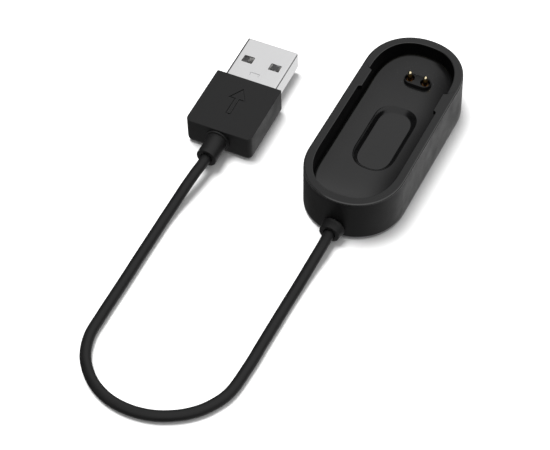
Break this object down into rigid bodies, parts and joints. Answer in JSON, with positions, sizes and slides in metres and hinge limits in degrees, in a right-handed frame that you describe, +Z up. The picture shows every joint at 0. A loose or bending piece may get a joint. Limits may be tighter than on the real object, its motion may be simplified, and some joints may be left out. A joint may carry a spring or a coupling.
{
  "type": "fitness tracker charging cradle",
  "caption": "Pocket-shaped charging cradle for a fitness tracker capsule, with sprung contact pins and a short lead to a type A plug.",
  "frame": {"origin": "on the table under the middle of the cradle, on the underside of the base cover", "axes": "+Z up, +Y along the cradle towards its contact pins; the lead leaves at -Y"},
  "size_m": [0.0507, 0.1068, 0.011],
  "materials": {
    "cradle_shell": "fine matte moulded, black",
    "base_cover": "fine matte moulded, black",
    "circuit_board": "green solder mask",
    "resettable_fuse": "fired body",
    "filter_capacitor": "fired body",
    "pin_block": "smooth moulded, black",
    "pin_barrel_left": "gold plated",
    "pin_barrel_right": "gold plated",
    "pin_plunger_left": "gold plated, polished",
    "pin_plunger_right": "gold plated, polished",
    "pin_spring_left": "drawn wire",
    "pin_spring_right": "drawn wire",
    "cradle_wire_positive": "red insulation",
    "cradle_wire_negative": "black insulation",
    "cradle_strain_relief": "soft black",
    "cable_jacket": "soft black",
    "plug_overmould": "soft black, matte",
    "plug_strain_relief": "soft black",
    "plug_inner_mould": "hard insulator",
    "usb_shell": "bright plated",
    "usb_tongue": "hard insulator, grey",
    "usb_contact_1": "tin plated",
    "usb_contact_2": "tin plated",
    "usb_contact_3": "tin plated",
    "usb_contact_4": "tin plated",
    "plug_wire_positive": "red insulation",
    "plug_wire_negative": "black insulation"
  },
  "bodies": {
    "cradle": {"cradle_shell": "cradle_shell", "base_cover": "base_cover", "circuit_board": "circuit_board", "resettable_fuse": "resettable_fuse", "filter_capacitor": "filter_capacitor", "pin_block": "pin_block", "pin_barrel_left": "pin_barrel_left", "pin_barrel_right": "pin_barrel_right", "pin_spring_left": "pin_spring_left", "pin_spring_right": "pin_spring_right", "cradle_wire_positive": "cradle_wire_positive", "cradle_wire_negative": "cradle_wire_negative", "cradle_strain_relief": "cradle_strain_relief", "cable_jacket": "cable_jacket", "plug_overmould": "plug_overmould", "plug_strain_relief": "plug_strain_relief", "plug_inner_mould": "plug_inner_mould", "usb_shell": "usb_shell", "usb_tongue": "usb_tongue", "usb_contact_1": "usb_contact_1", "usb_contact_2": "usb_contact_2", "usb_contact_3": "usb_contact_3", "usb_contact_4": "usb_contact_4", "plug_wire_positive": "plug_wire_positive", "plug_wire_negative": "plug_wire_negative"},
    "pin_left": {"pin_plunger_left": "pin_plunger_left"},
    "pin_right": {"pin_plunger_right": "pin_plunger_right"}
  },
  "joints": [
    {"name": "pin_press_left", "type": "slide", "parent": "cradle", "child": "pin_left", "axis": [0, 0, -1], "range_m": [0, 0.0009], "stiffness_N_per_m": 500, "deforming": ["pin_spring_left"]},
    {"name": "pin_press_right", "type": "slide", "parent": "cradle", "child": "pin_right", "axis": [0, 0, -1], "range_m": [0, 0.0009], "stiffness_N_per_m": 500, "deforming": ["pin_spring_right"]}
  ]
}
